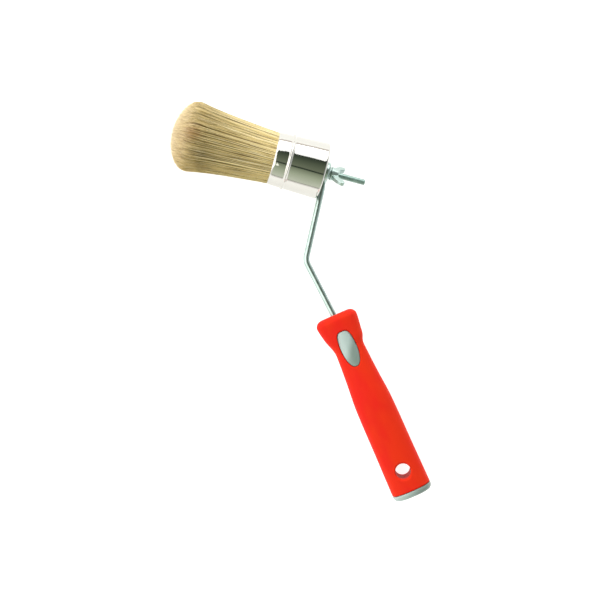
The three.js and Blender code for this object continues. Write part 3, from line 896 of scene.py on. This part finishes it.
def makeGrip():
    grip = handleBody("handleGrip", 0, capAt - seat, startRound=handle["headRound"], step=2.5)
    cut(grip, padPrism("padWindow", seat, handle["windowFloor"]))
    cut(grip, wireBore("wireHole"))
    cut(grip, crossBar("hangHole", handle["hangHole"], handle["hangMouthRound"], 64))
    soften(grip, handle["voxel"], 5)
    inside = innerBody("gripInside", handle["gripRoof"], capAt + 5, handle["gripWall"])
    cut(inside, crossBar("lining", handle["hangHole"] + handle["liningWall"]))
    cut(grip, inside)
    smooth(grip, 50)
    finishPiece(grip, handleFrame, "handle", ["handle_grip"], redFinish())


def makeCore():
    core = innerBody("handleCore", handle["gripRoof"] + seat, capAt - seat, coreInset)
    hollow = innerBody("coreHollow", handle["coreHollowAt"], capAt + 5, coreInset + handle["coreWall"], 10)
    cut(hollow, crossBar("boss", bossRadius))
    cut(core, hollow)
    cut(core, crossBar("bossBore", bossRadius - handle["bossWall"]))
    cut(core, wireBore("coreBore"))
    smooth(core, 40)
    finishPiece(core, handleFrame, "handle", ["handle_core"],
                greyFinish("coreGrey", ((0, 1, 0), -0.1, 0)))


def makePad():
    piece = padPrism("thumbPad", 0.0, pad["low"], pad["high"])
    middle = (pad["offset"] * mm, -(pad["top"] + pad["bottom"]) / 2 * mm, 0)
    bpy.ops.mesh.primitive_uv_sphere_add(segments=72, ring_count=48, radius=mm, location=middle)
    crown = startEdit("padCrown")
    bpy.ops.transform.resize(value=(pad["crownWidth"], pad["crownLength"], pad["crownHeight"]))
    endEdit(crown)
    bpy.ops.object.transform_apply(location=True, rotation=True, scale=True)
    cut(piece, crown, "INTERSECT")
    cut(piece, innerBody("padUnder", 5, 60, coreInset - seat))
    soften(piece, pad["voxel"], 5)
    finishPiece(piece, handleFrame, "handle", ["thumb_pad"],
                greyFinish("padGrey", ((-0.84, 0.54, 0), -0.0185, -0.0125)))


def makeCap():
    length = 1000 * tool["handleLength"]
    cap = handleBody("endCap", capAt, length, endRound=handle["buttRound"], step=1.5)
    inset = coreInset + handle["coreWall"] + seat
    low = capAt - handle["spigotLength"]
    spigot = innerBody("spigot", low, capAt + 2, inset, 3)
    cut(spigot, crossBar("bossGap", bossRadius + seat))
    cut(cap, spigot, "UNION")
    cut(cap, innerBody("recess", low - 1, capAt + 1, inset + handle["spigotWall"], 4))
    edgeLimit = math.radians(50)
    modify(cap, "BEVEL", width=handle["capEdge"], segments=3, limit_method="ANGLE", angle_limit=edgeLimit)
    smooth(cap, 40)
    finishPiece(cap, handleFrame, "handle", ["end_cap"],
                greyFinish("capGrey", ((-1, 0, 0), -0.011, 0.007)))


bristle = dict(
    foot=0.0185,
    reach=0.080,
    widest=0.0274,
    roundLength=0.0166,
    neck=0.0199,
    outerCount=3000,  # in each of the outer pieces
    outerPieces=3,
    outerCuts=9,
    outerDepth=0.085,  # share of the radius that the outer bristles stand in
    tipCount=7500,
    tipCuts=4,
    tipLength=0.012,
    massShare=0.93,  # of the radius, for the plain body behind the bristles
    massBelow=0.0035,
    thickness=0.00025,
    tufts=112,
    # where the painted shade spot between the splayed bristles sits, in the head's own coordinates
    shadeSpotAt=(-0.002, 0.1055, 0.0245),
    seed=11,
)
bristleTip = ferrule["length"] + bristle["reach"]
shoulder = bristleTip - bristle["roundLength"]


# Outer radius of the bundle at heights above the ferrule base
def bundleRadius(up):
    share = np.clip((up - ferrule["length"]) / (shoulder - ferrule["length"]), 0, 1)
    flare = 0.77 * share + 0.23 * share ** 5
    return bristle["neck"] + (bristle["widest"] - bristle["neck"]) * flare


# Height at which a bristle ends, from how far out of the middle it stands (0 to 1)
def tipHeight(out):
    return shoulder + bristle["roundLength"] * np.sqrt(1 - np.clip(out, 0, 1) ** 2)


def bristleFinish():
    hair = newFinish("hogBristle", IOR=1.45)
    tone, along = hair.attribute("tone"), hair.attribute("along")
    streak = hair.noise(hair.places((1, 0.05, 1)), 620, 2)
    body = hair.ramp(tone * 0.85 + streak * 0.15, [
        (0.0, (0.16, 0.09, 0.03)),
        (0.25, (0.36, 0.24, 0.08)),
        (0.50, (0.72, 0.56, 0.225)),
        (0.80, (0.97, 0.81, 0.42)),
        (1.0, (1.0, 0.94, 0.68)),
    ])
    tips = hair.blend(tone, (0.60, 0.45, 0.25), (1.0, 0.86, 0.58))
    # Painted shade: a darker brown spot near the dome's middle stands in for the shade between splayed bristles
    spot = {0: hair.attribute("ownPlace", 1), 1: bristle["shadeSpotAt"]}
    reach = hair.add("ShaderNodeVectorMath", {"operation": "DISTANCE"}, spot, "Value")
    ragged = reach + 0.006 * hair.noise(hair.places(), 240, 2)
    paintedShadeSpot = (1 - ragged.between(0.004, 0.012)) * 0.6
    pale = hair.blend(along.between(0.78, 1.01), body, tips)
    setSockets(hair, {
        "Base Color": hair.blend(paintedShadeSpot, pale, (0.46, 0.235, 0.075)),
        "Roughness": 0.46 + 0.16 * tone,
    })
    return hair


# The body behind the bristles: its sides are painted dark as painted shade deep inside the bundle, its domed end
# lighter like the tips
def shadedCoreFinish():
    mass = newFinish("bristleMass", Roughness=0.8)
    streak = mass.noise(mass.places((1, 0.03, 1)), 900, 3).between(0.35, 0.65)
    height = mass.along(mass.attribute("ownPlace", 1), (0, 1, 0))
    sides = mass.blend(streak, (0.14, 0.085, 0.035), (0.42, 0.29, 0.12))
    ends = mass.blend(streak, (0.42, 0.27, 0.15), (0.80, 0.62, 0.42))
    setSockets(mass, {
        "Base Color": mass.blend(height.between(0.098, 0.112), sides, ends),
        "Normal": mass.bump(streak, 0.0004),
    })
    return mass


# One bristle: a three-sided cone with cuts along it, unit high
def bristleTemplate(cuts):
    bpy.ops.object.select_all(action="DESELECT")
    bpy.ops.mesh.primitive_cone_add(vertices=3, radius1=1, radius2=0.3, depth=1, location=(0, 0, 0.5))
    hair = bpy.context.object
    bpy.ops.object.transform_apply(location=True, rotation=True, scale=True)
    startEdit("bristleTemplate")
    for i in range(1, cuts):
        bpy.ops.mesh.select_all(action="SELECT")
        bpy.ops.mesh.bisect(plane_co=(0, 0, i / cuts), plane_no=(0, 0, 1))
    bpy.ops.object.mode_set(mode="OBJECT")
    shape = np.array([vertex.co for vertex in hair.data.vertices])
    faces = [list(face.vertices) for face in hair.data.polygons]
    bpy.data.objects.remove(hair)
    return shape, faces


# Uneven tufts round the bundle: where each one is, how strongly it pulls and how light it is
def makeTufts(dice):
    count = bristle["tufts"]
    middles = 2 * np.pi * (np.arange(count) + dice.uniform(-0.32, 0.32, count)) / count - np.pi
    return middles, dice.uniform(0.35, 0.95, count), dice.normal(0, 1, count)


# Many bristles as one mesh. out is 0 to 1 from the middle, low and high are heights. Each bristle leans
# to the middle of its tuft, and painted shade darkens the bristles in the gaps between the tufts.
def plantBristles(name, out, angle, low, high, cuts, dice, tufts):
    shape, faces = bristleTemplate(cuts)
    count = len(out)
    share = shape[:, 2][None, :]
    height = low[:, None] + (high - low)[:, None] * share
    radius = out[:, None] * bundleRadius(height)
    rise = np.clip((height - ferrule["length"]) / bristle["reach"], 0, 1)
    middles, pulls, lights = tufts
    apart = (angle[:, None] - middles[None, :] + np.pi) % (2 * np.pi) - np.pi
    own = np.argmin(np.abs(apart), axis=1)
    gap = apart[np.arange(count), own]
    edge = np.clip(np.abs(gap) * len(middles) / np.pi, 0, 1)[:, None]
    pull, light = pulls[own][:, None], lights[own][:, None]
    waver = np.sin(7 * rise + 5 * light) * np.sin(3 * rise + 9 * pull)
    turn = angle[:, None] - gap[:, None] * 0.80 * pull * rise ** 0.6 + 0.014 * rise * waver
    sway = dice.normal(0, 1, (3, count, 1))
    turn = turn + 0.010 * rise ** 2 * sway[0] + 0.003 * rise * np.sin(9 * rise + 6 * sway[2])
    radius = radius * (1 + 0.008 * rise ** 2 * sway[1] - 0.02 * edge ** 2 * pull * rise)
    thick = bristle["thickness"] * dice.uniform(0.75, 1.25, (count, 1)) * (1 - 0.55 * share ** 3)
    radial = radius + thick * shape[:, 0][None, :]
    sideways = thick * shape[:, 1][None, :]
    x = radial * np.cos(turn) - sideways * np.sin(turn)
    z = radial * np.sin(turn) + sideways * np.cos(turn)
    points = np.stack([x, height, z], axis=2).reshape(-1, 3)
    starts = np.arange(count)[:, None] * len(shape)
    corners = [(np.array(face)[None, :] + starts).tolist() for face in faces]
    mesh = bpy.data.meshes.new(name)
    mesh.from_pydata(points.tolist(), [], [face for group in corners for face in group])
    # Tone, 0 dark to 1 light, with streaks that break off along the bristles
    broken = 0.56 + 0.46 * np.sin(24 * rise + 8 * pull + 3 * light) * np.sin(8 * rise + 5 * light)
    # Painted shade: bristles at a tuft's edge are darkened as the shade in the gaps between tufts, less so near
    # the tips
    dark = 0.95 * edge ** 7 * broken * (1 - 0.65 * np.clip(4 * rise - 3, 0, 1))
    dashes = 0.16 * np.sin(16 * rise + 7 * sway[0] + 3 * light) + 0.10 * np.sin(31 * rise + 9 * sway[1])
    rare = 0.65 * (sway[0] > 1.35) * (0.5 + 0.5 * np.sin(12 * rise + 20 * sway[1]))
    tone = np.clip(0.66 + 0.27 * sway[2] + 0.05 * light + dashes - dark - rare, 0, 1)
    for label, values in (("tone", tone), ("along", rise)):
        layer = mesh.attributes.new(label, "FLOAT", "POINT")
        layer.data.foreach_set("value", values.reshape(-1).astype(np.float32))
    piece = bpy.data.objects.new(name, mesh)
    bpy.context.scene.collection.objects.link(piece)
    editOnly(piece)
    bpy.ops.object.mode_set(mode="EDIT")
    bpy.ops.mesh.select_all(action="SELECT")
    bpy.ops.mesh.normals_make_consistent(inside=False)
    bpy.ops.object.mode_set(mode="OBJECT")
    bpy.ops.object.shade_smooth()
    return piece


def makeBristles():
    hair = bristleFinish()
    dice = np.random.default_rng(bristle["seed"])
    tufts = makeTufts(dice)
    inner, foot, low = bristle["massShare"], bristle["foot"], bristle["massBelow"]
    profile = [(0, foot), (bristle["neck"] * inner, foot)]
    heights = [*np.linspace(ferrule["length"], shoulder, 9)]
    profile += [(inner * float(bundleRadius(up)), float(up)) for up in heights]
    for turn in range(10, 90, 10):
        across = inner * bristle["widest"] * math.cos(math.radians(turn))
        rise = (bristle["roundLength"] - low) * math.sin(math.radians(turn))
        profile.append((across, shoulder + rise))
    profile.append((0, bristleTip - low))
    mass = turnProfile("bristleMass", profile, 96)
    smooth(mass, 60)
    finishPiece(mass, headFrame, "brush_head", ["bristle_bundle"], shadedCoreFinish())
    for part in range(bristle["outerPieces"]):
        count = bristle["outerCount"]
        out = 1 - bristle["outerDepth"] * dice.uniform(0, 1, count) ** 1.2
        angle = dice.uniform(-math.pi, math.pi, count)
        uneven = dice.normal(0, 0.0007, count)
        ends = tipHeight(out) - 0.0003 + uneven - 0.004 * dice.uniform(0, 1, count) ** 6
        roots = np.full(count, foot)
        name = f"bristles{part + 1}"
        piece = plantBristles(name, out, angle, roots, ends, bristle["outerCuts"], dice, tufts)
        finishPiece(piece, headFrame, "brush_head", ["bristle_bundle"], hair)
    count = bristle["tipCount"]
    out = np.sqrt(dice.uniform(0, 0.98, count))
    angle = dice.uniform(-math.pi, math.pi, count)
    ends = tipHeight(out) + dice.normal(0, 0.0006, count)
    roots = ends - bristle["tipLength"]
    piece = plantBristles("bristleTips", out, angle, roots, ends, bristle["tipCuts"], dice, tufts)
    finishPiece(piece, headFrame, "brush_head", ["bristle_bundle"], hair)


# Three hidden pieces keep their solids and only get finishes
def plainPlace(finish, scale=(1, 1, 1)):
    where = finish.add("ShaderNodeTexCoord", output="Object")
    return finish.add("ShaderNodeMapping", None, {"Vector": where, "Scale": scale})


def resinFinish():
    resin = newFinish("amberResin", Roughness=0.3, **{"Coat Weight": 0.4})
    swirl = resin.noise(plainPlace(resin), 160, 4)
    setSockets(resin, {
        "Base Color": resin.blend(swirl, (0.34, 0.17, 0.05), (0.55, 0.32, 0.12)),
        "Normal": resin.bump(swirl, 0.0003),
    })
    return resin


def woodFinish():
    wood = newFinish("turnedWood", Roughness=0.65)
    grain = wood.noise(plainPlace(wood, (3, 0.4, 3)), 420, 4)
    setSockets(wood, {
        "Base Color": wood.blend(grain.between(0.35, 0.65), (0.50, 0.33, 0.17), (0.72, 0.53, 0.31)),
        "Normal": wood.bump(grain, 0.0002),
    })
    return wood


def discFinish():
    disc = newFinish("discZinc", Metallic=1.0)
    cloud = disc.noise(plainPlace(disc), 300, 3)
    setSockets(disc, {
        "Base Color": disc.blend(cloud, (0.52, 0.62, 0.58), (0.70, 0.80, 0.76)),
        "Roughness": 0.25 + 0.2 * cloud,
    })
    return disc


def dressHidden():
    finishes = dict(core_plug=woodFinish(), resin_setting=resinFinish(), backing_disc=discFinish())
    for node, finish in finishes.items():
        piece = frame["nodes"][node]
        piece.data.materials.clear()
        piece.data.materials.append(finish.material)


zinc = zincFinish()
makeFerrule()
makeStud(zinc)
makeWasher(zinc)
makeWingNut(zinc)
makeWire(zinc)
print("metal done")
makeGrip()
makeCore()
makePad()
makeCap()
print("handle done")
makeBristles()
dressHidden()
print("bristles done")
